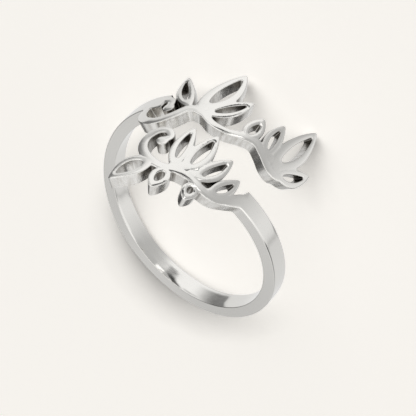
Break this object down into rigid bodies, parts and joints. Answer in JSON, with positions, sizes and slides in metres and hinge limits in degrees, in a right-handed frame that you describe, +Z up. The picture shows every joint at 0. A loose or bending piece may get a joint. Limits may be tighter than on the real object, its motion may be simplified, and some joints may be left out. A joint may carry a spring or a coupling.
{
  "type": "name ring",
  "caption": "Open bypass ring in polished silver; its two ends pass each other as rows of pierced leaf scroll that stand where such a ring has its names.",
  "frame": {"origin": "centre of the base of the lying ring's box, on the surface that it lies on", "axes": "+Z up, away from that surface; the scroll head faces -Y and the band runs back towards +Y"},
  "size_m": [0.019, 0.0212, 0.0145],
  "materials": {
    "silver": "polished"
  },
  "bodies": {
    "root": {"ring": "silver"}
  },
  "joints": []
}
